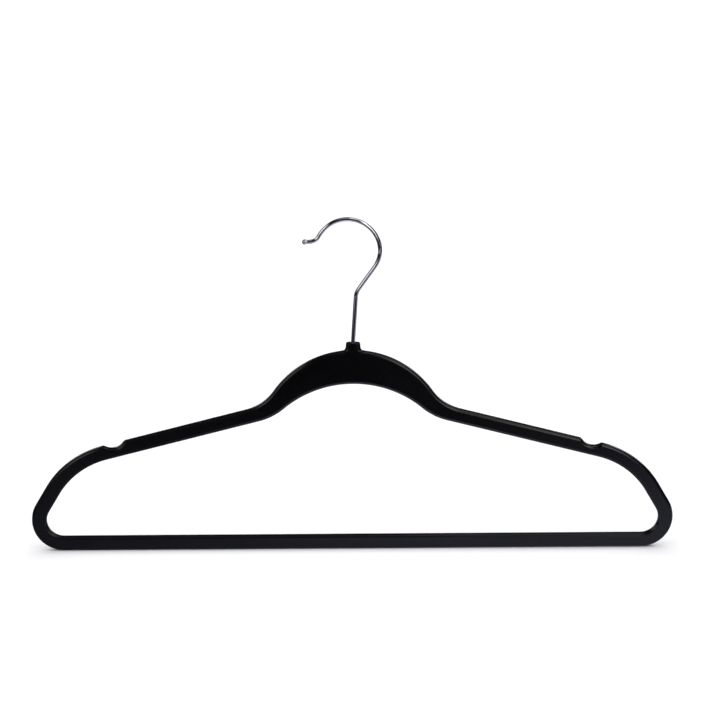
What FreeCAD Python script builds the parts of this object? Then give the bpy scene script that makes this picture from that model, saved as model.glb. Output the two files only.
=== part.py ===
import FreeCAD, Part
import math
import os

"""Slim one-piece suit hanger with a swivelling wire hook.

Units are millimetres.  +Z is up, X runs along the trouser bar and Y through the
thickness.  The origin is at the foot of the swivel axis: the middle of the bar's
underside.  The hanger lies in the XZ plane, and its two faces are at Y = +/- thickness / 2.
"""

# ---------------------------------------------------------------- driving dimensions

# moulded body
overall_width = 445.0
thickness = 5.6
rim = 10.05                 # depth of the bar and arms, seen from the front
side_rim = 10.4             # the same of the sides
edge_round = 1.9            # rounding of every edge between a face and a rim

corner_radius = 22.0        # outer corners, where the bar turns up into the sides
side_lean = 30.4            # the sides lean inwards by this angle, degrees
shoulder_radius = 64.3
opening_corner_radius = 11.8
opening_shoulder_radius = 54.3
arm_slope = 14.4            # fall of the arms, degrees
arm_peak = 119.65           # height where the two arms' top lines would meet

crown_radius = 66.3         # top of the raised middle
crown_centre_z = 76.45
crown_fillet = 33.6         # hollow curve from the crown down to the arm
arch_radius = 73.0          # underside of the raised middle
arch_centre_z = 46.1
arch_fillet = 42.7

notch_x = 164.7             # strap notches in the arms' top
notch_half_chord = 7.2
notch_depth = 3.15
notch_lip_radius = 2.1

# neck on top of the crown, oblong in plan
neck_top_z = 148.4
neck_half_top = 4.85
neck_half_foot = 5.05
neck_depth = 5.5
neck_flare = 3.2            # radius of the trumpet-shaped foot
neck_top_round = 0.8
neck_root = 3.8             # how far its foot reaches down into the crown

# hook wire
wire_radius = 1.4
hook_lean = 3.3             # the shank leans towards +X above the neck, degrees
lean_bend = 8.0
shank_run = 31.05
elbow_radius = 13.0
slant = 35.1                # the long slanted run, degrees from upright
slant_run = 18.3
bow_side_radius = 19.8
bow_side_turn = 46.7
bow_top_radius = 22.1
bow_top_turn = 140.6
tip_bend = 7.0
tip_turn = 60.6
tip_run = 3.4
ball_radius = 1.8

# how the neck holds the hook: a ring groove in the wire over a rib in the socket
running_gap = 0.05          # radial play of the wire in the socket
axial_gap = 0.1
wire_end_z = 128.0
wire_end_chamfer = 0.5
groove_low_z = 131.4
groove_depth = 0.3
rib_height = 1.5
socket_floor_gap = 0.6
socket_mouth_chamfer = 0.3

# witness marks that moulding leaves on the back face
ejector_radius = 2.0
ejector_depth = 0.12
ejectors_on_bar = (-150.0, -50.0, 50.0, 150.0)
ejectors_on_arm = (85.0, 140.0)         # distances from the middle
ejector_on_crown = (22.0, 15.0)         # out from the middle, down from the crown's top
gate_radius = 1.25
gate_depth = 0.3
gate_drop = 7.0             # below the middle of the crown's depth

# ---------------------------------------------------------------- plane geometry

SLOPE = math.radians(arm_slope)
LEAN = math.radians(side_lean)
QUARTER = math.pi / 2

ARM_NORMAL = (math.sin(SLOPE), math.cos(SLOPE))
ARM_ALONG = (math.cos(SLOPE), -math.sin(SLOPE))
SIDE_NORMAL = (math.cos(LEAN), math.sin(LEAN))
ARM_TOP = arm_peak * math.cos(SLOPE)        # distance of the arm's top line from the origin

CORNER = (overall_width / 2 - corner_radius, corner_radius)
CROWN_TOP = crown_centre_z + crown_radius


def dot(a, b):
    return a[0] * b[0] + a[1] * b[1]


def polar(centre, radius, angle):
    return (centre[0] + radius * math.cos(angle), centre[1] + radius * math.sin(angle))


def angle_from(centre, point):
    return math.atan2(point[1] - centre[1], point[0] - centre[0])


def arc_centre(line_a, line_b, radius):
    """Centre of an arc of that radius that touches two lines from inside.

    A line is its outward normal and its distance from the origin.
    """
    (ax, az), (bx, bz) = line_a[0], line_b[0]
    a = line_a[1] - radius
    b = line_b[1] - radius
    cross = ax * bz - az * bx
    return ((a * bz - b * az) / cross, (b * ax - a * bx) / cross)


def bar_line(inset):
    return ((0.0, -1.0), -inset)


def side_line(inset):
    return (SIDE_NORMAL, dot(SIDE_NORMAL, CORNER) + corner_radius - inset)


def arm_line(inset):
    return (ARM_NORMAL, ARM_TOP - inset)


def blend_centre(line_distance, circle_z, circle_radius, blend):
    """Centre of an arc above the arm line and outside the circle, touching both."""
    along = line_distance + blend
    reach = circle_radius + blend
    # the centre is along * ARM_NORMAL + t * ARM_ALONG, at distance reach from (0, circle_z)
    foot = (along * ARM_NORMAL[0], along * ARM_NORMAL[1] - circle_z)
    half = dot(foot, ARM_ALONG)
    t = -half + math.sqrt(half * half - dot(foot, foot) + reach * reach)
    return (along * ARM_NORMAL[0] + t * ARM_ALONG[0], along * ARM_NORMAL[1] + t * ARM_ALONG[1])


SHOULDER = arc_centre(side_line(0.0), arm_line(0.0), shoulder_radius)


class Outline:
    """The right-hand half of a closed outline, from the bar to the centre line."""

    def __init__(self, start):
        self.at = start
        self.parts = []

    def line(self, end):
        self.parts.append((self.at, None, end))
        self.at = end

    def arc(self, centre, radius, start_angle, end_angle):
        start = polar(centre, radius, start_angle)
        if math.dist(start, self.at) > 1e-6:
            self.line(start)
        middle = polar(centre, radius, (start_angle + end_angle) / 2)
        end = polar(centre, radius, end_angle)
        self.parts.append((start, middle, end))
        self.at = end

    def face(self):
        """The whole outline, this half and its mirror image, as a flat face at Y = -T/2."""
        edges = []
        for mirror in (1, -1):
            for start, middle, end in self.parts:
                points = [
                    FreeCAD.Vector(mirror * p[0], -thickness / 2, p[1])
                    for p in (start, middle, end)
                    if p is not None
                ]
                if len(points) == 2:
                    edges.append(Part.LineSegment(*points).toShape())
                else:
                    edges.append(Part.Arc(*points).toShape())
        return Part.Face(Part.Wire(Part.__sortEdges__(edges)))


def lower_half(outline, corner, corner_arc, shoulder, shoulder_arc):
    """Bar, corner, side and shoulder, from the arcs' centres and radii."""
    outline.arc(corner, corner_arc, -QUARTER, LEAN)
    outline.arc(shoulder, shoulder_arc, LEAN, QUARTER - SLOPE)


def upper_half(outline, line_distance, circle_z, circle_radius, blend):
    """The hollow curve and the arc over the middle, up to the centre line."""
    centre = blend_centre(line_distance, circle_z, circle_radius, blend)
    middle = (0.0, circle_z)
    on_arm = -QUARTER - SLOPE
    on_circle = angle_from(centre, middle)
    outline.arc(centre, blend, on_arm, on_circle)
    outline.arc(middle, circle_radius, angle_from(middle, centre), QUARTER)


def strap_notch(outline):
    """A shallow round notch with rounded lips, from its outer lip to its inner one."""
    floor_radius = (notch_half_chord**2 + notch_depth**2) / (2 * notch_depth)
    chord = (notch_x, arm_peak - notch_x * math.tan(SLOPE))
    rise = floor_radius - notch_depth
    floor = (chord[0] + rise * ARM_NORMAL[0], chord[1] + rise * ARM_NORMAL[1])
    reach = floor_radius + notch_lip_radius
    lip_out = math.sqrt(reach**2 - (rise + notch_lip_radius) ** 2)
    lips = [
        (
            chord[0] + side * lip_out * ARM_ALONG[0] - notch_lip_radius * ARM_NORMAL[0],
            chord[1] + side * lip_out * ARM_ALONG[1] - notch_lip_radius * ARM_NORMAL[1],
        )
        for side in (1, -1)
    ]
    up = QUARTER - SLOPE
    outline.arc(lips[0], notch_lip_radius, up, angle_from(lips[0], floor))
    outline.arc(floor, floor_radius, angle_from(floor, lips[0]), angle_from(floor, lips[1]))
    outline.arc(lips[1], notch_lip_radius, angle_from(lips[1], floor), up)


# ---------------------------------------------------------------- moulded body


def vector(x, y, z):
    return FreeCAD.Vector(x, y, z)


def frame_plate():
    """The flat hanger with its opening, all edges rounded."""
    outer = Outline((0.0, 0.0))
    lower_half(outer, CORNER, corner_radius, SHOULDER, shoulder_radius)
    strap_notch(outer)
    upper_half(outer, ARM_TOP, crown_centre_z, crown_radius, crown_fillet)

    opening = Outline((0.0, rim))
    corner = arc_centre(bar_line(rim), side_line(side_rim), opening_corner_radius)
    shoulder = arc_centre(side_line(side_rim), arm_line(rim), opening_shoulder_radius)
    lower_half(opening, corner, opening_corner_radius, shoulder, opening_shoulder_radius)
    upper_half(opening, ARM_TOP - rim, arch_centre_z, arch_radius, arch_fillet)

    through = FreeCAD.Vector(0, thickness, 0)
    plate = outer.face().extrude(through).cut(opening.face().extrude(through))
    rims = [
        edge
        for edge in plate.Edges
        if abs(abs(edge.CenterOfMass.y) - thickness / 2) < 1e-6
    ]
    return plate.makeFillet(edge_round, rims)


def oblong(half_length, z):
    """A round-ended outline of the neck's depth, lying flat at height z."""
    radius = neck_depth / 2
    reach = half_length - radius
    edges = []
    for side in (1, -1):
        start = vector(side * reach, -side * radius, z)
        tip = vector(side * half_length, 0, z)
        end = vector(side * reach, side * radius, z)
        edges.append(Part.Arc(start, tip, end).toShape())
        edges.append(Part.LineSegment(end, vector(-side * reach, side * radius, z)).toShape())
    return Part.Wire(edges)


def neck():
    """An oblong column with a trumpet foot that runs out on the crown's top."""
    foot_z = crown_centre_z + math.sqrt(crown_radius**2 - (neck_half_foot + neck_flare) ** 2)
    flare_top = foot_z + neck_flare
    column = Part.makeLoft(
        [oblong(neck_half_foot, flare_top), oblong(neck_half_top, neck_top_z)], True, True
    )
    top_edges = [e for e in column.Edges if abs(e.CenterOfMass.z - neck_top_z) < 1e-6]
    column = column.makeFillet(neck_top_round, top_edges)

    sections = []
    flare_turns = (10, 30, 50, 70, 90)
    for turn in map(math.radians, flare_turns):
        half = neck_half_foot + neck_flare * (1 - math.sin(turn))
        sections.append(oblong(half, foot_z + neck_flare * (1 - math.cos(turn))))
    flare = Part.makeLoft(sections, True, False)

    root = Part.Face(sections[0]).extrude(vector(0, 0, -neck_root))
    return column.fuse([flare, root])


def turned(points):
    """A solid of revolution about the Z axis from (radius, height) points."""
    corners = [vector(r, 0, z) for r, z in points]
    face = Part.Face(Part.makePolygon(corners + corners[:1]))
    return face.revolve(vector(0, 0, 0), vector(0, 0, 1), 360)


def socket():
    """The space for the hook in the neck, narrowed by the rib that holds it."""
    bore = wire_radius + running_gap
    throat = bore - groove_depth
    rib_low = groove_low_z + axial_gap
    rib_high = rib_low + rib_height
    floor = wire_end_z - socket_floor_gap
    mouth = neck_top_z - socket_mouth_chamfer
    return turned(
        [
            (0, floor),
            (bore, floor),
            (bore, rib_low),
            (throat, rib_low),
            (throat, rib_high),
            (bore, rib_high + groove_depth),
            (bore, mouth),
            (bore + socket_mouth_chamfer, neck_top_z),
            (bore + socket_mouth_chamfer, neck_top_z + 1),
            (0, neck_top_z + 1),
        ]
    )


def mirrored(point, side):
    return (side * point[0], point[1])


def witness_marks():
    """Shallow round prints of the ejector pins and of the gate, in the back face."""
    spots = [(x, rim / 2) for x in ejectors_on_bar]
    middle_of_arm = arm_peak - rim / (2 * math.cos(SLOPE))
    out, down = ejector_on_crown
    for side in (1, -1):
        for x in ejectors_on_arm:
            spots.append((side * x, middle_of_arm - x * math.tan(SLOPE)))
        spots.append(mirrored(polar(SHOULDER, shoulder_radius - rim / 2, QUARTER / 2), side))
        spots.append(mirrored(polar(CORNER, corner_radius - rim / 2, -QUARTER / 2), side))
        spots.append((side * out, CROWN_TOP - down))
    back = thickness / 2
    inwards = vector(0, -1, 0)
    marks = [
        Part.makeCylinder(ejector_radius, ejector_depth, vector(x, back, z), inwards)
        for x, z in spots
    ]
    gate_z = (CROWN_TOP + arch_centre_z + arch_radius) / 2 - gate_drop
    marks.append(Part.makeCylinder(gate_radius, gate_depth, vector(0, back, gate_z), inwards))
    return marks


def hanger_body():
    body = frame_plate().fuse(neck())
    body = body.cut([socket()] + witness_marks())
    return body.removeSplitter()


# ---------------------------------------------------------------- hook


class Bender:
    """Feeds straight wire and bends it in the XZ plane, as a forming machine does.

    The heading is measured from +Z towards +X, and so is a positive bend.
    """

    def __init__(self, z):
        self.at = vector(0, 0, z)
        self.heading = 0.0
        self.solids = []

    def along(self):
        return vector(math.sin(self.heading), 0, math.cos(self.heading))

    def section(self):
        ring = Part.Circle(self.at, self.along(), wire_radius).toShape()
        return Part.Face(Part.Wire(ring))

    def straight(self, run):
        step = self.along() * run
        self.solids.append(self.section().extrude(step))
        self.at = self.at + step

    def bend(self, radius, degrees):
        side = math.copysign(1, degrees)
        to_centre = vector(math.cos(self.heading), 0, -math.sin(self.heading)) * side
        centre = self.at + to_centre * radius
        turn = vector(0, side, 0)
        self.solids.append(self.section().revolve(centre, turn, abs(degrees)))
        self.heading += math.radians(degrees)
        outwards = vector(-math.cos(self.heading), 0, math.sin(self.heading)) * side
        self.at = centre + outwards * radius


def shank():
    """The straight end in the neck, with its lead-in and the ring groove."""
    throat = wire_radius - groove_depth
    groove_high = groove_low_z + rib_height + 2 * axial_gap
    return turned(
        [
            (0, wire_end_z),
            (wire_radius - wire_end_chamfer, wire_end_z),
            (wire_radius, wire_end_z + wire_end_chamfer),
            (wire_radius, groove_low_z),
            (throat, groove_low_z),
            (throat, groove_high),
            (wire_radius, groove_high + groove_depth),
            (wire_radius, neck_top_z),
            (0, neck_top_z),
        ]
    )


def swivel_hook():
    wire = Bender(neck_top_z)
    wire.bend(lean_bend, hook_lean)
    wire.straight(shank_run)
    wire.bend(elbow_radius, slant - hook_lean)
    wire.straight(slant_run)
    wire.bend(bow_side_radius, -bow_side_turn)
    wire.bend(bow_top_radius, -bow_top_turn)
    wire.bend(tip_bend, tip_turn)
    wire.straight(tip_run)
    ball = Part.makeSphere(ball_radius, wire.at)
    return shank().fuse(wire.solids + [ball]).removeSplitter()


# ---------------------------------------------------------------- output

os.makedirs("parts", exist_ok=True)
for name, make in (("hanger_body", hanger_body), ("swivel_hook", swivel_hook)):
    shape = make()
    box = shape.BoundBox
    print(name, shape.isValid(), len(shape.Solids), "solid,", round(shape.Volume), "mm3,")
    print("  X %.2f to %.2f" % (box.XMin, box.XMax), " Y %.2f to %.2f" % (box.YMin, box.YMax))
    print("  Z %.2f to %.2f" % (box.ZMin, box.ZMax))
    shape.exportStep("parts/" + name + ".step")
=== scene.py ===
import math

import bmesh
import bpy
from mathutils import Matrix, Quaternion, Vector


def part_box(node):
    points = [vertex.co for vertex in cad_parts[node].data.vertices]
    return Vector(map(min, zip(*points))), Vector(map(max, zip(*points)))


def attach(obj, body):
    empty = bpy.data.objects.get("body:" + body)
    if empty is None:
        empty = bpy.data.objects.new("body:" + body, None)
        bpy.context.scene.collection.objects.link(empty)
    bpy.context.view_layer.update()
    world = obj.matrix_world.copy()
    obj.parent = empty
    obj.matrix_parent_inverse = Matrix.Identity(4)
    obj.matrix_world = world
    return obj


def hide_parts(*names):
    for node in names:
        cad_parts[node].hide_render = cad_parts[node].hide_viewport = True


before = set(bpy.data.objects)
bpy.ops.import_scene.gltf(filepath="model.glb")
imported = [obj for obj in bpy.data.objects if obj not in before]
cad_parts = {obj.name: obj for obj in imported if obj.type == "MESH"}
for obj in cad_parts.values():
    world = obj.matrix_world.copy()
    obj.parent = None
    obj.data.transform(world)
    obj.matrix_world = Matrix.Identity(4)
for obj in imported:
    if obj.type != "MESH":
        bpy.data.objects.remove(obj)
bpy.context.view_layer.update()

MM = 0.001

# ---------------------------------------------------------------- sizes
# lengths are in millimetres, and angles are written in degrees

body_low, body_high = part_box("hanger_body")
hook_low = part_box("swivel_hook")[0]

WIDTH = (body_high.x - body_low.x) / MM
THICKNESS = (body_high.y - body_low.y) / MM
NECK_TOP = body_high.z / MM
WIRE_END = hook_low.z / MM
WIRE_RADIUS = 1.4

# outline of the moulding
RIM = 10.05
SIDE_RIM = 10.4
EDGE_ROUND = 1.9
CORNER_RADIUS = 22.0
SIDE_LEAN = math.radians(30.4)
SHOULDER_RADIUS = 64.3
OPENING_CORNER_RADIUS = 11.8
OPENING_SHOULDER_RADIUS = 54.3
ARM_SLOPE = math.radians(14.4)
ARM_PEAK = 119.65
CROWN_RADIUS = 66.3
CROWN_CENTRE_Z = 76.45
CROWN_FILLET = 33.6
ARCH_RADIUS = 73.0
ARCH_CENTRE_Z = 46.1
ARCH_FILLET = 42.7

NOTCH_X = 164.7
NOTCH_HALF_CHORD = 7.2
NOTCH_DEPTH = 3.15
NOTCH_LIP_RADIUS = 2.1

# the rims are set back on both sides of the parting line, which stands proud between them
RIM_SETBACK = 0.05
PARTING_HALF_WIDTH = 0.16
PARTING_SLOPE = 0.12
# a narrow flat band along each face's edges, which keeps the shading of the face flat
FACE_MARGIN = 0.15

# neck
NECK_HALF_TOP = 4.85
NECK_HALF_FOOT = 5.05
NECK_DEPTH = 5.5
NECK_FLARE = 3.2
NECK_TOP_ROUND = 0.8
NECK_ROOT = 3.8  # how far its foot reaches down into the crown

# socket for the wire
BORE_RADIUS = 1.45
RIB_RADIUS = 1.15
RIB_LOW = 131.5
RIB_HEIGHT = 1.5
SOCKET_FLOOR_GAP = 0.6
MOUTH_CHAMFER = 0.3

# marks that moulding leaves on the back face
EJECTOR_RADIUS = 2.0
EJECTOR_DEPTH = 0.12
EJECTORS_ON_BAR = (-150.0, -50.0, 50.0, 150.0)
EJECTORS_ON_ARM = (85.0, 140.0)  # distances from the middle
EJECTOR_ON_CROWN = (22.0, 15.0)  # out from the middle, down from the crown's top
GATE_RADIUS = 1.25
GATE_DEPTH = 0.3
GATE_DROP = 7.0  # below the middle of the crown's depth
MARK_TAPER = 0.1  # how much wider a mark is at the surface
TOOL_OVERSHOOT = 1.0  # how far a cutting solid stands out of the surface that it cuts

# hook wire
HOOK_LEAN = 3.3
LEAN_BEND = 8.0
SHANK_RUN = 31.05
ELBOW_RADIUS = 13.0
SLANT = 35.1
SLANT_RUN = 18.3
BOW_SIDE_RADIUS = 19.8
BOW_SIDE_TURN = 46.7
BOW_TOP_RADIUS = 22.1
BOW_TOP_TURN = 140.6
TIP_BEND = 7.0
TIP_TURN = 60.6
TIP_RUN = 3.4
BALL_RADIUS = 1.8
END_CHAMFER = 0.5
GROOVE_LOW = 131.4
GROOVE_HEIGHT = 1.7
GROOVE_DEPTH = 0.3

# how finely the curves are divided
BAR_STEPS = 64
CORNER_STEPS = 36
SIDE_STEPS = 6
SHOULDER_STEPS = 26
LIP_STEPS = 7
NOTCH_STEPS = 14
ARM_STEPS = 30
HOLLOW_STEPS = 16
CROWN_STEPS = 30
EDGE_STEPS = 6
NECK_END_STEPS = 16
NECK_FLARE_STEPS = 8
NECK_ROUND_STEPS = 6
SOCKET_STEPS = 40
MARK_STEPS = 24
WIRE_STEPS = 32
BALL_STEPS = 13

# camera; its azimuth is 0 at the front and turns to the right
CAMERA_TARGET = (4.75, 0.0, 135.82)
CAMERA_DISTANCE = 2000.0
CAMERA_AZIMUTH = -1.31
CAMERA_ELEVATION = 15.788
CAMERA_ROLL = 0.044
CAMERA_LENS = 146.2
CAMERA_SENSOR = 36
CAMERA_NEAR = 0.05  # metres
CAMERA_FAR = 50

QUARTER = math.pi / 2
ARM_NORMAL = (math.sin(ARM_SLOPE), math.cos(ARM_SLOPE))
ARM_ALONG = (math.cos(ARM_SLOPE), -math.sin(ARM_SLOPE))
SIDE_NORMAL = (math.cos(SIDE_LEAN), math.sin(SIDE_LEAN))
ARM_TOP = ARM_PEAK * math.cos(ARM_SLOPE)
CORNER = (WIDTH / 2 - CORNER_RADIUS, CORNER_RADIUS)
CROWN_TOP = CROWN_CENTRE_Z + CROWN_RADIUS

# ---------------------------------------------------------------- outline


def dot(a, b):
    return a[0] * b[0] + a[1] * b[1]


def polar(centre, radius, angle):
    return (centre[0] + radius * math.cos(angle), centre[1] + radius * math.sin(angle))


def angle_from(centre, point):
    return math.atan2(point[1] - centre[1], point[0] - centre[0])


def arc_centre(line_a, line_b, radius):
    """Centre of an arc of that radius that touches two lines from inside.

    A line is its outward normal and its distance from the origin.
    """
    (ax, az), (bx, bz) = line_a[0], line_b[0]
    a = line_a[1] - radius
    b = line_b[1] - radius
    cross = ax * bz - az * bx
    return ((a * bz - b * az) / cross, (b * ax - a * bx) / cross)


def blend_centre(line_distance, circle_z, circle_radius, blend):
    """Centre of an arc above the arm line and outside the circle, touching both."""
    along = line_distance + blend
    reach = circle_radius + blend
    foot = (along * ARM_NORMAL[0], along * ARM_NORMAL[1] - circle_z)
    half = dot(foot, ARM_ALONG)
    t = -half + math.sqrt(half * half - dot(foot, foot) + reach * reach)
    return (along * ARM_NORMAL[0] + t * ARM_ALONG[0], along * ARM_NORMAL[1] + t * ARM_ALONG[1])


SIDE_DISTANCE = dot(SIDE_NORMAL, CORNER) + CORNER_RADIUS
SHOULDER = arc_centre((SIDE_NORMAL, SIDE_DISTANCE), (ARM_NORMAL, ARM_TOP), SHOULDER_RADIUS)


class Trace:
    """Points along half an outline, from the bar's middle to the crown's, each with its normal."""

    def __init__(self, start, normal):
        self.samples = [(start, normal)]

    def line(self, end, steps):
        start = self.samples[-1][0]
        run = (end[0] - start[0], end[1] - start[1])
        length = math.hypot(*run)
        normal = (run[1] / length, -run[0] / length)
        for i in range(1, steps + 1):
            share = i / steps
            self.samples.append(((start[0] + run[0] * share, start[1] + run[1] * share), normal))

    def arc(self, centre, radius, start_angle, end_angle, steps):
        """An arc; one that runs clockwise is a hollow, whose normal points at its centre."""
        outwards = math.copysign(1, end_angle - start_angle)
        for i in range(1, steps + 1):
            angle = start_angle + (end_angle - start_angle) * i / steps
            normal = (outwards * math.cos(angle), outwards * math.sin(angle))
            self.samples.append((polar(centre, radius, angle), normal))


def lower_part(trace, corner, corner_radius, shoulder, shoulder_radius):
    """Bar, corner, side and shoulder, from the arcs' centres and radii."""
    trace.line((corner[0], corner[1] - corner_radius), BAR_STEPS)
    trace.arc(corner, corner_radius, -QUARTER, SIDE_LEAN, CORNER_STEPS)
    trace.line(polar(shoulder, shoulder_radius, SIDE_LEAN), SIDE_STEPS)
    trace.arc(shoulder, shoulder_radius, SIDE_LEAN, QUARTER - ARM_SLOPE, SHOULDER_STEPS)


def upper_part(trace, line_distance, circle_z, circle_radius, blend):
    """The hollow curve and the arc over the middle."""
    centre = blend_centre(line_distance, circle_z, circle_radius, blend)
    middle = (0.0, circle_z)
    on_arm = -QUARTER - ARM_SLOPE
    on_circle = angle_from(centre, middle)
    trace.arc(centre, blend, on_arm, on_circle, HOLLOW_STEPS)
    trace.arc(middle, circle_radius, angle_from(middle, centre), QUARTER, CROWN_STEPS)


def strap_notch(trace):
    """A shallow round notch with rounded lips, from its outer lip to its inner one."""
    floor_radius = (NOTCH_HALF_CHORD**2 + NOTCH_DEPTH**2) / (2 * NOTCH_DEPTH)
    chord = (NOTCH_X, ARM_PEAK - NOTCH_X * math.tan(ARM_SLOPE))
    rise = floor_radius - NOTCH_DEPTH
    floor = (chord[0] + rise * ARM_NORMAL[0], chord[1] + rise * ARM_NORMAL[1])
    reach = floor_radius + NOTCH_LIP_RADIUS
    lip_out = math.sqrt(reach**2 - (rise + NOTCH_LIP_RADIUS) ** 2)
    lips = [
        (
            chord[0] + side * lip_out * ARM_ALONG[0] - NOTCH_LIP_RADIUS * ARM_NORMAL[0],
            chord[1] + side * lip_out * ARM_ALONG[1] - NOTCH_LIP_RADIUS * ARM_NORMAL[1],
        )
        for side in (1, -1)
    ]
    up = QUARTER - ARM_SLOPE
    trace.line(polar(lips[0], NOTCH_LIP_RADIUS, up), 1)
    trace.arc(lips[0], NOTCH_LIP_RADIUS, up, angle_from(lips[0], floor), LIP_STEPS)
    ends = [angle_from(floor, lip) for lip in lips]
    trace.arc(floor, floor_radius, ends[0], ends[1], NOTCH_STEPS)
    trace.arc(lips[1], NOTCH_LIP_RADIUS, angle_from(lips[1], floor), up, LIP_STEPS)


def outer_trace():
    """The outer outline, and the numbers of the samples where the arm starts and ends."""
    trace = Trace((0.0, 0.0), (0.0, -1.0))
    lower_part(trace, CORNER, CORNER_RADIUS, SHOULDER, SHOULDER_RADIUS)
    arm_start = len(trace.samples)
    strap_notch(trace)
    fillet = blend_centre(ARM_TOP, CROWN_CENTRE_Z, CROWN_RADIUS, CROWN_FILLET)
    trace.line(polar(fillet, CROWN_FILLET, -QUARTER - ARM_SLOPE), ARM_STEPS)
    arm_end = len(trace.samples)
    upper_part(trace, ARM_TOP, CROWN_CENTRE_Z, CROWN_RADIUS, CROWN_FILLET)
    return trace, arm_start, arm_end


def inner_trace(outer, arm_start, arm_end):
    """The opening's outline, with a point across from each point of the outer one."""
    trace = Trace((0.0, RIM), (0.0, -1.0))
    side = (SIDE_NORMAL, SIDE_DISTANCE - SIDE_RIM)
    distance = ARM_TOP - RIM
    corner = arc_centre(((0.0, -1.0), -RIM), side, OPENING_CORNER_RADIUS)
    shoulder = arc_centre(side, (ARM_NORMAL, distance), OPENING_SHOULDER_RADIUS)
    lower_part(trace, corner, OPENING_CORNER_RADIUS, shoulder, OPENING_SHOULDER_RADIUS)
    fillet = blend_centre(distance, ARCH_CENTRE_Z, ARCH_RADIUS, ARCH_FILLET)
    start = trace.samples[-1][0]
    end = polar(fillet, ARCH_FILLET, -QUARTER - ARM_SLOPE)
    across = [dot(outer.samples[i][0], ARM_ALONG) for i in range(arm_start - 1, arm_end)]
    for t in across[1:]:
        share = (t - across[0]) / (across[-1] - across[0])
        point = (start[0] + (end[0] - start[0]) * share, start[1] + (end[1] - start[1]) * share)
        trace.samples.append((point, ARM_NORMAL))
    upper_part(trace, distance, ARCH_CENTRE_Z, ARCH_RADIUS, ARCH_FILLET)
    return trace


def whole(samples):
    """The half outline and its mirror image, as one closed loop."""
    mirror = [((-p[0], p[1]), (-n[0], n[1])) for p, n in reversed(samples[1:-1])]
    return samples + mirror


# ---------------------------------------------------------------- mesh helpers

MERGE_DISTANCE = 1e-7  # metres
FLAT_FACE_WEIGHT = 80


def mesh_object(name, vertices, faces):
    """An object in the scene from points in millimetres."""
    mesh = bpy.data.meshes.new(name)
    mesh.from_pydata([Vector(v) * MM for v in vertices], [], faces)
    made = bpy.data.objects.new(name, mesh)
    bpy.context.scene.collection.objects.link(made)
    return made


def ring_faces(rings, around, closed=False):
    """Quads between rings that hold the same number of points each."""
    faces = []
    for i in range(rings if closed else rings - 1):
        low = i * around
        high = (i + 1) % rings * around
        for j in range(around):
            k = (j + 1) % around
            faces.append((low + j, low + k, high + k, high + j))
    return faces


def baked(made):
    """The object with its modifiers applied."""
    graph = bpy.context.evaluated_depsgraph_get()
    mesh = bpy.data.meshes.new_from_object(made.evaluated_get(graph))
    old = made.data
    made.modifiers.clear()
    made.data = mesh
    bpy.data.meshes.remove(old)
    return made


def joined_by(made, tools, operation):
    """A boolean with each tool, which is then removed."""
    for tool in tools:
        step = made.modifiers.new(tool.name, "BOOLEAN")
        step.operation = operation
        step.solver = "EXACT"
        step.object = tool
    baked(made)
    for tool in tools:
        bpy.data.objects.remove(tool)
    return made


def clean(made):
    """Merges stray doubles and turns every face outwards."""
    work = bmesh.new()
    work.from_mesh(made.data)
    bmesh.ops.remove_doubles(work, verts=work.verts, dist=MERGE_DISTANCE)
    bmesh.ops.dissolve_degenerate(work, edges=work.edges, dist=MERGE_DISTANCE)
    bmesh.ops.recalc_face_normals(work, faces=work.faces)
    work.to_mesh(made.data)
    work.free()


def smooth(made, sharp_degrees):
    """Smooth shading that keeps flat faces flat."""
    for polygon in made.data.polygons:
        polygon.use_smooth = True
    made.data.set_sharp_from_angle(angle=math.radians(sharp_degrees))
    step = made.modifiers.new("flat_faces", "WEIGHTED_NORMAL")
    step.keep_sharp = True
    step.weight = FLAT_FACE_WEIGHT
    return baked(made)


# ---------------------------------------------------------------- moulded body


def strip_section():
    """One section through the moulding, as (edge, depth inwards, y) steps.

    edge is 1 on the outer outline and 0 on the opening's.
    """
    half = THICKNESS / 2
    turn = [QUARTER * i / EDGE_STEPS for i in range(EDGE_STEPS + 1)]
    curve = [(EDGE_ROUND * (1 - math.sin(a)), half - EDGE_ROUND * (1 - math.cos(a))) for a in turn]
    margin = EDGE_ROUND + FACE_MARGIN
    ridge = PARTING_HALF_WIDTH + PARTING_SLOPE
    steps = []
    for edge in (1, 0):
        side = -1 if edge else 1
        steps.append((edge, margin, side * half))
        for depth, y in curve:
            steps.append((edge, depth + RIM_SETBACK, side * y))
        steps.append((edge, RIM_SETBACK, side * ridge))
        steps.append((edge, 0.0, side * PARTING_HALF_WIDTH))
        steps.append((edge, 0.0, -side * PARTING_HALF_WIDTH))
        steps.append((edge, RIM_SETBACK, -side * ridge))
        for depth, y in reversed(curve):
            steps.append((edge, depth + RIM_SETBACK, -side * y))
        steps.append((edge, margin, -side * half))
    return steps


def rim_strip():
    """The flat moulding, as that section carried all the way round."""
    outer, arm_start, arm_end = outer_trace()
    inner = inner_trace(outer, arm_start, arm_end)
    section = strip_section()
    vertices = []
    for (out, out_normal), (inn, inn_normal) in zip(whole(outer.samples), whole(inner.samples)):
        for edge, depth, y in section:
            if edge:
                point = (out[0] - depth * out_normal[0], out[1] - depth * out_normal[1])
            else:
                point = (inn[0] + depth * inn_normal[0], inn[1] + depth * inn_normal[1])
            vertices.append((point[0], y, point[1]))
    around = len(section)
    return mesh_object("hanger_moulding", vertices, ring_faces(len(vertices) // around, around, True))


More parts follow.
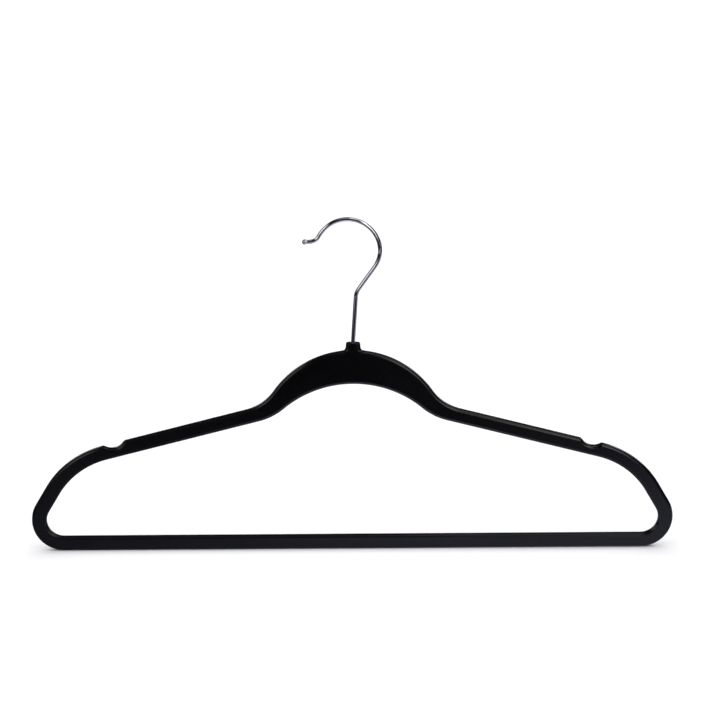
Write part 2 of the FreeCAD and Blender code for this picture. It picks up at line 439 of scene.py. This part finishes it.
def oblong(half_length, half_depth, z):
    """A round-ended ring lying flat at height z."""
    reach = half_length - half_depth
    ring = []
    for side in (1, -1):
        for i in range(NECK_END_STEPS + 1):
            angle = math.pi * i / NECK_END_STEPS - side * QUARTER
            ring.append((side * reach + half_depth * math.cos(angle), half_depth * math.sin(angle), z))
        for share in (0.5, 0.0, -0.5):
            ring.append((side * reach * share, side * half_depth, z))
    return ring


def neck():
    """An oblong column with a trumpet foot that runs out on the crown's top."""
    half_depth = NECK_DEPTH / 2
    foot_z = CROWN_CENTRE_Z + math.sqrt(CROWN_RADIUS**2 - (NECK_HALF_FOOT + NECK_FLARE) ** 2)
    flare_top = foot_z + NECK_FLARE
    rings = [oblong(NECK_HALF_FOOT + NECK_FLARE, half_depth, foot_z - NECK_ROOT)]
    for i in range(NECK_FLARE_STEPS + 1):
        turn = QUARTER * i / NECK_FLARE_STEPS
        half = NECK_HALF_FOOT + NECK_FLARE * (1 - math.sin(turn))
        rings.append(oblong(half, half_depth, foot_z + NECK_FLARE * (1 - math.cos(turn))))
    round_start = NECK_TOP - NECK_TOP_ROUND
    taper = (NECK_HALF_FOOT - NECK_HALF_TOP) / (NECK_TOP - flare_top)
    for z in ((flare_top + round_start) / 2, round_start):
        rings.append(oblong(NECK_HALF_FOOT - taper * (z - flare_top), half_depth, z))
    for i in range(1, NECK_ROUND_STEPS + 1):
        turn = QUARTER * i / NECK_ROUND_STEPS
        inset = NECK_TOP_ROUND * (1 - math.cos(turn))
        z = round_start + NECK_TOP_ROUND * math.sin(turn)
        rings.append(oblong(NECK_HALF_TOP - inset, half_depth - inset, z))
    around = len(rings[0])
    vertices = [point for ring in rings for point in ring]
    faces = ring_faces(len(rings), around)
    faces.append(tuple(reversed(range(around))))
    faces.append(tuple(range(len(vertices) - around, len(vertices))))
    return mesh_object("neck", vertices, faces)


def turned(name, profile, around, centre=(0.0, 0.0, 0.0), axis="Z"):
    """A closed solid of revolution from (radius, height) points that start and end on its axis.

    Along Y, heights count towards -Y, which is inwards from the back face.
    """
    vertices = [(0, 0, profile[0][1])]
    for radius, height in profile[1:-1]:
        for i in range(around):
            angle = 2 * math.pi * i / around
            vertices.append((radius * math.cos(angle), radius * math.sin(angle), height))
    vertices.append((0, 0, profile[-1][1]))
    last = len(vertices) - 1
    body = [tuple(1 + k for k in face) for face in ring_faces(len(profile) - 2, around)]
    caps = [(0, 1 + (i + 1) % around, 1 + i) for i in range(around)]
    caps += [(last, last - around + i, last - around + (i + 1) % around) for i in range(around)]
    if axis == "Y":
        vertices = [(x, -z, y) for x, y, z in vertices]
    vertices = [tuple(a + b for a, b in zip(v, centre)) for v in vertices]
    return mesh_object(name, vertices, body + caps)


def socket():
    """The space for the hook in the neck, narrowed by the rib that holds it."""
    floor = WIRE_END - SOCKET_FLOOR_GAP
    rib_high = RIB_LOW + RIB_HEIGHT
    mouth = NECK_TOP - MOUTH_CHAMFER
    wide = BORE_RADIUS + MOUTH_CHAMFER
    profile = [
        (0, floor),
        (BORE_RADIUS, floor),
        (BORE_RADIUS, RIB_LOW),
        (RIB_RADIUS, RIB_LOW),
        (RIB_RADIUS, rib_high),
        (BORE_RADIUS, rib_high + BORE_RADIUS - RIB_RADIUS),
        (BORE_RADIUS, mouth),
        (wide, NECK_TOP),
        (wide, NECK_TOP + TOOL_OVERSHOOT),
        (0, NECK_TOP + TOOL_OVERSHOOT),
    ]
    return turned("socket", profile, SOCKET_STEPS)


def ejector_spots():
    """Centres of the ejector pins' prints, as (x, z)."""
    middle_of_arm = ARM_PEAK - RIM / (2 * math.cos(ARM_SLOPE))
    out, down = EJECTOR_ON_CROWN
    half = [(x, middle_of_arm - x * math.tan(ARM_SLOPE)) for x in EJECTORS_ON_ARM]
    half.append(polar(SHOULDER, SHOULDER_RADIUS - RIM / 2, QUARTER / 2))
    half.append(polar(CORNER, CORNER_RADIUS - RIM / 2, -QUARTER / 2))
    half.append((out, CROWN_TOP - down))
    on_bar = [(x, RIM / 2) for x in EJECTORS_ON_BAR]
    return on_bar + [(side * x, z) for side in (1, -1) for x, z in half]


def witness_marks():
    """Shallow round prints of the ejector pins and of the gate, in the back face."""
    gate_z = (CROWN_TOP + ARCH_CENTRE_Z + ARCH_RADIUS) / 2 - GATE_DROP
    marks = [(x, z, EJECTOR_RADIUS, EJECTOR_DEPTH) for x, z in ejector_spots()]
    marks.append((0, gate_z, GATE_RADIUS, GATE_DEPTH))
    made = []
    for i, (x, z, radius, depth) in enumerate(marks):
        wide = radius + MARK_TAPER
        profile = [(0, -TOOL_OVERSHOOT), (wide, -TOOL_OVERSHOOT), (wide, 0), (radius, depth), (0, depth)]
        made.append(turned("mark_%d" % i, profile, MARK_STEPS, (x, THICKNESS / 2, z), "Y"))
    return made


def hanger_moulding():
    """The whole one-piece moulding."""
    body = rim_strip()
    clean(body)
    joined_by(body, [neck()], "UNION")
    joined_by(body, [socket()] + witness_marks(), "DIFFERENCE")
    clean(body)
    return smooth(body, sharp_degrees=40)


# ---------------------------------------------------------------- wire hook


class Wire:
    """Feeds straight wire and bends it in the XZ plane; the heading turns from +Z towards +X."""

    def __init__(self, z):
        self.at = (0.0, z)
        self.heading = 0.0
        self.rings = []
        self.fed = z

    def ring(self, radius=WIRE_RADIUS, back=0.0):
        """A ring at the present end, or back from it along the wire."""
        along = (math.sin(self.heading), math.cos(self.heading))
        point = (self.at[0] - back * along[0], self.at[1] - back * along[1])
        self.rings.append((point, self.heading, radius, self.fed - back))

    def straight(self, run, steps):
        """Feeds a straight run, in equal steps."""
        step = run / steps
        for _ in range(steps):
            self.at = (
                self.at[0] + step * math.sin(self.heading),
                self.at[1] + step * math.cos(self.heading),
            )
            self.fed += step
            self.ring()

    def bend(self, radius, degrees, steps):
        """Bends round an arc of that radius; a positive turn goes from +Z towards +X."""
        side = math.copysign(1, degrees)
        centre = (
            self.at[0] + side * radius * math.cos(self.heading),
            self.at[1] - side * radius * math.sin(self.heading),
        )
        for _ in range(steps):
            self.heading += math.radians(degrees / steps)
            self.fed += radius * math.radians(abs(degrees)) / steps
            self.at = (
                centre[0] - side * radius * math.cos(self.heading),
                centre[1] + side * radius * math.sin(self.heading),
            )
            self.ring()


def shank_profile():
    """(height, radius) along the wire's end in the neck, with its lead-in and ring groove."""
    chamfered = WIRE_RADIUS - END_CHAMFER
    throat = WIRE_RADIUS - GROOVE_DEPTH
    groove_high = GROOVE_LOW + GROOVE_HEIGHT
    return [
        (WIRE_END, chamfered / 2),
        (WIRE_END, chamfered),
        (WIRE_END + END_CHAMFER, WIRE_RADIUS),
        (GROOVE_LOW, WIRE_RADIUS),
        (GROOVE_LOW, throat),
        (groove_high, throat),
        (groove_high + GROOVE_DEPTH, WIRE_RADIUS),
        ((groove_high + NECK_TOP) / 2, WIRE_RADIUS),
        (NECK_TOP, WIRE_RADIUS),
    ]


def wire_path():
    """The whole wire, from its end in the neck to the ball at its tip."""
    wire = Wire(NECK_TOP)
    for z, radius in shank_profile():
        wire.ring(radius, NECK_TOP - z)
    wire.bend(LEAN_BEND, HOOK_LEAN, steps=3)
    wire.straight(SHANK_RUN, steps=16)
    wire.bend(ELBOW_RADIUS, SLANT - HOOK_LEAN, steps=16)
    wire.straight(SLANT_RUN, steps=10)
    wire.bend(BOW_SIDE_RADIUS, -BOW_SIDE_TURN, steps=22)
    wire.bend(BOW_TOP_RADIUS, -BOW_TOP_TURN, steps=64)
    wire.bend(TIP_BEND, TIP_TURN, steps=18)
    run_to_ball = TIP_RUN - math.sqrt(BALL_RADIUS**2 - WIRE_RADIUS**2)
    wire.straight(run_to_ball, steps=3)
    wire.straight(TIP_RUN - run_to_ball, steps=1)
    # the ball's own rings take the place of the one at its centre
    wire.rings.pop()
    start = math.asin(WIRE_RADIUS / BALL_RADIUS)
    for i in range(1, BALL_STEPS):
        turn = start + (math.pi - start) * i / BALL_STEPS
        wire.ring(BALL_RADIUS * math.sin(turn), BALL_RADIUS * math.cos(turn))
    return wire


def wire_points(wire):
    """The tube's points ring by ring, in place and as if the wire were straight."""
    placed = []
    straight = []
    for point, heading, radius, fed in wire.rings:
        for i in range(WIRE_STEPS):
            angle = 2 * math.pi * i / WIRE_STEPS
            across = radius * math.cos(angle)
            depth = radius * math.sin(angle)
            x = point[0] + across * math.cos(heading)
            z = point[1] - across * math.sin(heading)
            placed.append((x, depth, z))
            straight.append((across, depth, fed))
    return placed, straight


def wire_hook():
    """The wire as one closed tube; "straightened" carries the draw lines round its bends."""
    wire = wire_path()
    vertices, straightened = wire_points(wire)
    faces = ring_faces(len(wire.rings), WIRE_STEPS)
    bottom = len(vertices)
    for i in range(WIRE_STEPS):
        k = (i + 1) % WIRE_STEPS
        faces.append((bottom, k, i))
        faces.append((bottom + 1, bottom - WIRE_STEPS + i, bottom - WIRE_STEPS + k))
    tip_x = wire.at[0] + BALL_RADIUS * math.sin(wire.heading)
    tip_z = wire.at[1] + BALL_RADIUS * math.cos(wire.heading)
    vertices += [(0, 0, WIRE_END), (tip_x, 0, tip_z)]
    straightened += [(0, 0, WIRE_END), (0, 0, wire.fed + BALL_RADIUS)]
    hook = mesh_object("wire_hook", vertices, faces)
    attribute = hook.data.attributes.new("straightened", "FLOAT_VECTOR", "POINT")
    for item, value in zip(attribute.data, straightened):
        item.vector = Vector(value) * MM
    clean(hook)
    return smooth(hook, sharp_degrees=50)


# ---------------------------------------------------------------- materials


class Nodes:
    """Shorthand for building a material's or the world's node tree."""

    def __init__(self, tree):
        self.tree = tree

    def add(self, kind, **settings):
        node = self.tree.nodes.new("ShaderNode" + kind)
        for name, value in settings.items():
            setattr(node, name, value)
        return node

    def feed(self, socket, value):
        """Links another node's output to a socket, or sets the socket's own value."""
        if isinstance(value, bpy.types.NodeSocket):
            self.tree.links.new(value, socket)
        else:
            socket.default_value = value

    def noise(self, where, scale, detail=2.0, roughness=0.5, distortion=0.0):
        node = self.add("TexNoise")
        for name, value in (
            ("Vector", where),
            ("Scale", scale),
            ("Detail", detail),
            ("Roughness", roughness),
            ("Distortion", distortion),
        ):
            self.feed(node.inputs[name], value)
        return node.outputs["Fac"]

    def stretched(self, where, scale, rotation=(0, 0, 0)):
        """Turned and scaled coordinates, so that a noise on them runs in streaks."""
        node = self.add("Mapping")
        self.feed(node.inputs["Vector"], where)
        node.inputs["Scale"].default_value = scale
        node.inputs["Rotation"].default_value = rotation
        return node.outputs["Vector"]

    def ranged(self, value, source, target, interpolation="LINEAR"):
        """Maps the source range onto the target range, and clamps to it."""
        node = self.add("MapRange", interpolation_type=interpolation)
        for name, number in (
            ("Value", value),
            ("From Min", source[0]),
            ("From Max", source[1]),
            ("To Min", target[0]),
            ("To Max", target[1]),
        ):
            self.feed(node.inputs[name], number)
        return node.outputs["Result"]

    def maths(self, operation, *values):
        node = self.add("Math", operation=operation)
        for socket, value in zip(node.inputs, values):
            self.feed(socket, value)
        return node.outputs["Value"]

    def total(self, values):
        """The sum of several values."""
        result = values[0]
        for value in values[1:]:
            result = self.maths("ADD", result, value)
        return result

    def mixed(self, share, first, second):
        """A colour between two, by a share from 0 to 1."""
        node = self.add("Mix", data_type="RGBA")
        self.feed(node.inputs["Factor"], share)
        colours = [s for s in node.inputs if s.type == "RGBA"]
        self.feed(colours[0], first)
        self.feed(colours[1], second)
        return next(s for s in node.outputs if s.type == "RGBA")

    def bump(self, height, strength, distance, under=None):
        node = self.add("Bump")
        self.feed(node.inputs["Height"], height)
        self.feed(node.inputs["Strength"], strength)
        self.feed(node.inputs["Distance"], distance)
        if under is not None:
            self.feed(node.inputs["Normal"], under)
        return node.outputs["Normal"]


def new_material(name):
    material = bpy.data.materials.new(name)
    material.use_nodes = True
    return material, Nodes(material.node_tree), material.node_tree.nodes["Principled BSDF"]


BLACK_DARK = (0.0014, 0.0014, 0.0018, 1)
BLACK_LIGHT = (0.0024, 0.0023, 0.003, 1)
PLATE_DARK = (0.78, 0.76, 0.79, 1)
PLATE_LIGHT = (0.88, 0.86, 0.89, 1)
PIT_COLOUR = (0.42, 0.41, 0.40, 1)
PAPER_DARK = (0.86, 0.86, 0.88, 1)
PAPER_LIGHT = (0.89, 0.89, 0.90, 1)


def plastic():
    """Satin black moulded plastic with flow lines, a fine grain and light handling marks."""
    material, nodes, shader = new_material("moulded_black_plastic")
    where = nodes.add("TexCoord").outputs["Object"]
    cloud = nodes.noise(where, scale=22, detail=3, distortion=0.4)
    grain = nodes.noise(where, scale=2600)
    streak_space = nodes.stretched(where, scale=(14, 60, 420), rotation=(0, 0.35, 0))
    streaks = nodes.noise(streak_space, scale=5, detail=3, roughness=0.6, distortion=0.2)
    hairline_space = nodes.stretched(where, scale=(30, 30, 1700), rotation=(0, -0.6, 0.2))
    hairline_noise = nodes.noise(hairline_space, scale=3, detail=1)
    hairlines = nodes.ranged(hairline_noise, (0.66, 0.7), (0, 1))

    tone = nodes.ranged(cloud, (0.35, 0.7), (0, 1))
    nodes.feed(shader.inputs["Base Color"], nodes.mixed(tone, BLACK_DARK, BLACK_LIGHT))
    rough = nodes.total(
        [
            nodes.ranged(cloud, (0.3, 0.75), (0.15, 0.2)),
            nodes.ranged(streaks, (0.35, 0.7), (-0.015, 0.02)),
            nodes.ranged(hairlines, (0, 1), (0, 0.03)),
        ]
    )
    nodes.feed(shader.inputs["Roughness"], rough)
    shader.inputs["IOR"].default_value = 1.55
    shader.inputs["Specular IOR Level"].default_value = 0.4
    flow = nodes.bump(cloud, strength=0.35, distance=0.0006)
    fine = nodes.bump(grain, strength=0.18, distance=0.00003, under=flow)
    lines = nodes.bump(hairlines, strength=0.08, distance=0.00002, under=fine)
    nodes.feed(shader.inputs["Normal"], lines)
    return material


def chrome():
    """Bright plating over drawn wire, whose draw lines run along it."""
    material, nodes, shader = new_material("bright_plated_wire")
    where = nodes.add("Attribute", attribute_name="straightened").outputs["Vector"]
    draw_space = nodes.stretched(where, scale=(1, 1, 0.02))
    draw = nodes.noise(draw_space, scale=3800, detail=3, roughness=0.6)
    cloud_space = nodes.stretched(where, scale=(1, 1, 0.4))
    cloud = nodes.noise(cloud_space, scale=260, detail=3)
    pits = nodes.ranged(nodes.noise(where, scale=2400, detail=1), (0.7, 0.76), (0, 1))

    bright = nodes.mixed(cloud, PLATE_DARK, PLATE_LIGHT)
    nodes.feed(shader.inputs["Base Color"], nodes.mixed(pits, bright, PIT_COLOUR))
    shader.inputs["Metallic"].default_value = 1
    drawn_rough = nodes.ranged(draw, (0.35, 0.7), (0.03, 0.08))
    pit_rough = nodes.ranged(pits, (0, 1), (0, 0.15))
    nodes.feed(shader.inputs["Roughness"], nodes.total([drawn_rough, pit_rough]))
    lines = nodes.bump(draw, strength=0.12, distance=0.00002)
    waves = nodes.bump(cloud, strength=0.1, distance=0.0001, under=lines)
    nodes.feed(shader.inputs["Normal"], waves)
    return material


def floor_paper():
    """Pale matt paper."""
    material, nodes, shader = new_material("floor_paper")
    where = nodes.add("TexCoord").outputs["Object"]
    fibre = nodes.noise(where, scale=700, detail=3)
    cloud = nodes.noise(where, scale=1.5)
    nodes.feed(shader.inputs["Base Color"], nodes.mixed(cloud, PAPER_DARK, PAPER_LIGHT))
    nodes.feed(shader.inputs["Roughness"], nodes.ranged(fibre, (0.3, 0.7), (0.85, 0.95)))
    shader.inputs["Specular IOR Level"].default_value = 0.1
    nodes.feed(shader.inputs["Normal"], nodes.bump(fibre, strength=0.1, distance=0.0001))
    return material


# ---------------------------------------------------------------- studio

# half widths of the floor and of the card under it, in millimetres
FLOOR_HALF = 8000
CARD_HALF = 3000
CARD_DROP = 1

# light patches on the table as the object reflects it, in metres: centre, half sizes, strength
PATCHES = (
    ((0.3, 0.0), (0.75, 0.36), 0.56),
    ((0.02, -0.13), (0.2, 0.13), 0.9),
    ((-0.25, -0.15), (0.25, 0.25), 0.1),
    ((0.4, -0.84), (0.34, 0.3), 0.7),
    ((1.9, -1.9), (1.4, 1.2), 0.9),
    ((-0.95, -0.68), (0.62, 0.45), 1.2),
)
PATCH_COLOUR = (0.80, 0.83, 1.05, 1)

# softboxes that only reflections see, aimed at the object's middle: name, azimuth, elevation,
# roll, width and height in metres, power in watts
SOFTBOXES = (
    ("softbox_right", 26, 17, -25, 0.62, 2.1, 7.8),
    ("softbox_left", -33, 17, 30, 0.5, 1.4, 3.5),
    ("softbox_back_right", 147, 17, 25, 0.5, 1.8, 3.5),
    ("softbox_back_left", 208, 17, -25, 0.5, 1.8, 3.0),
)
SOFTBOX_DISTANCE = 2.0
OBJECT_MIDDLE = Vector((0, 0, 0.12))

# lights that point straight down, as place, size and power: only reflections see the first,
# and they are all that doesn't see the second
TOP_LIGHT = ((0.42, -0.15, 1.0), (0.7, 1.3), 1.7)
CEILING_LIGHT = ((0, 1.0, 4.0), (14, 14), 930)

# soft glows of the studio round the object: azimuth, elevation, inner and outer radius, strength
GLOWS = (
    (0, 75, 10, 30, 0.3),
    (-66, 26, 8, 22, 0.6),
    (150, 20, 2, 22, 0.08),
)
ROOM_LIGHT = 0.02
ROOM_COLOUR = (0.96, 0.94, 1, 1)
BACKDROP_COLOUR = (0.95, 0.95, 0.97, 1)


def make_camera():
    azimuth = math.radians(CAMERA_AZIMUTH)
    elevation = math.radians(CAMERA_ELEVATION)
    roll = math.radians(CAMERA_ROLL)
    level = math.cos(elevation)
    back = Vector((math.sin(azimuth) * level, -math.cos(azimuth) * level, math.sin(elevation)))
    right = Vector((math.cos(azimuth), math.sin(azimuth), 0))
    up = back.cross(right)
    turned_right = right * math.cos(roll) + up * math.sin(roll)
    turned_up = up * math.cos(roll) - right * math.sin(roll)
    place = (Vector(CAMERA_TARGET) + back * CAMERA_DISTANCE) * MM
    data = bpy.data.cameras.new("camera")
    data.sensor_width = CAMERA_SENSOR
    data.lens = CAMERA_LENS
    data.clip_start = CAMERA_NEAR
    data.clip_end = CAMERA_FAR
    camera = bpy.data.objects.new("camera", data)
    bpy.context.scene.collection.objects.link(camera)
    axes = Matrix((turned_right, turned_up, back)).transposed()
    camera.matrix_world = Matrix.Translation(place) @ axes.to_4x4()
    bpy.context.scene.camera = camera


def level_square(name, half, z):
    """A flat square about the Z axis, from its half width and its height."""
    corners = [(-half, -half, z), (half, -half, z), (half, half, z), (-half, half, z)]
    return mesh_object(name, corners, [(0, 1, 2, 3)])


def make_floor():
    """The pale floor; reflections see the card under it instead."""
    floor = level_square("floor", FLOOR_HALF, 0)
    floor.data.materials.append(floor_paper())
    floor.visible_glossy = False


def glow_material():
    """Emission in soft oval patches over a dim even light."""
    material = bpy.data.materials.new("table_glow")
    material.use_nodes = True
    material.node_tree.nodes.clear()
    nodes = Nodes(material.node_tree)
    where = nodes.add("TexCoord").outputs["Object"]
    patches = []
    for (x, y), (half_x, half_y), strength in PATCHES:
        space = nodes.add("Mapping", vector_type="TEXTURE")
        nodes.feed(space.inputs["Vector"], where)
        space.inputs["Location"].default_value = (x, y, 0)
        space.inputs["Scale"].default_value = (half_x, half_y, 1)
        away = nodes.add("VectorMath", operation="LENGTH")
        nodes.feed(away.inputs[0], space.outputs["Vector"])
        patches.append(nodes.ranged(away.outputs["Value"], (1, 0), (0, strength), "SMOOTHSTEP"))
    glow = nodes.add("Emission")
    nodes.feed(glow.inputs["Color"], PATCH_COLOUR)
    nodes.feed(glow.inputs["Strength"], nodes.maths("ADD", nodes.total(patches), ROOM_LIGHT))
    nodes.feed(nodes.add("OutputMaterial").inputs["Surface"], glow.outputs[0])
    return material


def table_glow():
    """What the object reflects of the table: a card just under the paper that only gloss sees."""
    card = level_square("table_glow", CARD_HALF, -CARD_DROP)
    card.data.materials.append(glow_material())
    card.visible_camera = False
    card.visible_diffuse = False
    card.visible_shadow = False


def area_light(name, place, aim, size, power, reflected_only):
    """A rectangular light that only reflections see, or one that they don't see."""
    data = bpy.data.lights.new(name, "AREA")
    data.shape = "RECTANGLE"
    data.size, data.size_y = size
    data.energy = power
    light = bpy.data.objects.new(name, data)
    bpy.context.scene.collection.objects.link(light)
    light.location = place
    light.rotation_mode = "QUATERNION"
    light.rotation_quaternion = (Vector(aim) - Vector(place)).to_track_quat("-Z", "Y")
    light.visible_camera = False
    light.visible_glossy = reflected_only
    light.visible_diffuse = not reflected_only
    return light


def downlight(name, place, size, power, reflected_only):
    """A light that points straight down."""
    area_light(name, place, (place[0], place[1], 0), size, power, reflected_only)


def direction(azimuth, elevation):
    """A unit vector; azimuth 0 is the front and turns to the right."""
    a, e = math.radians(azimuth), math.radians(elevation)
    return (math.sin(a) * math.cos(e), -math.cos(a) * math.cos(e), math.sin(e))


def make_lights():
    for name, azimuth, elevation, roll, width, height, power in SOFTBOXES:
        place = OBJECT_MIDDLE + Vector(direction(azimuth, elevation)) * SOFTBOX_DISTANCE
        size = (width, height)
        box = area_light(name, place, OBJECT_MIDDLE, size, power, reflected_only=True)
        box.rotation_quaternion @= Quaternion((0, 0, 1), math.radians(roll))
    downlight("softbox_top", *TOP_LIGHT, reflected_only=True)
    downlight("ceiling", *CEILING_LIGHT, reflected_only=False)


def make_world():
    """A dim room with soft glows, which the camera sees as an even pale backdrop."""
    world = bpy.data.worlds.new("studio")
    world.use_nodes = True
    world.node_tree.nodes.clear()
    nodes = Nodes(world.node_tree)
    where = nodes.add("TexCoord").outputs["Generated"]
    glows = []
    for azimuth, elevation, inner, outer, strength in GLOWS:
        near = nodes.add("VectorMath", operation="DOT_PRODUCT")
        nodes.feed(near.inputs[0], where)
        nodes.feed(near.inputs[1], direction(azimuth, elevation))
        edges = [math.cos(math.radians(radius)) for radius in (outer, inner)]
        glows.append(nodes.ranged(near.outputs["Value"], edges, (0, strength), "SMOOTHSTEP"))
    room = nodes.add("Background")
    nodes.feed(room.inputs["Color"], ROOM_COLOUR)
    nodes.feed(room.inputs["Strength"], nodes.maths("ADD", nodes.total(glows), ROOM_LIGHT))
    backdrop = nodes.add("Background")
    nodes.feed(backdrop.inputs["Color"], BACKDROP_COLOUR)
    seen = nodes.add("MixShader")
    nodes.feed(seen.inputs[0], nodes.add("LightPath").outputs["Is Camera Ray"])
    nodes.feed(seen.inputs[1], room.outputs[0])
    nodes.feed(seen.inputs[2], backdrop.outputs[0])
    nodes.feed(nodes.add("OutputWorld").inputs["Surface"], seen.outputs[0])
    bpy.context.scene.world = world


# ---------------------------------------------------------------- putting it together

make_camera()
make_floor()
table_glow()
make_lights()
make_world()
bpy.context.scene.view_settings.view_transform = "Standard"

moulding = hanger_moulding()
moulding.data.materials.append(plastic())
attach(moulding, "hanger")
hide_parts("hanger_body")

hook = wire_hook()
hook.data.materials.append(chrome())
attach(hook, "hook")
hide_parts("swivel_hook")
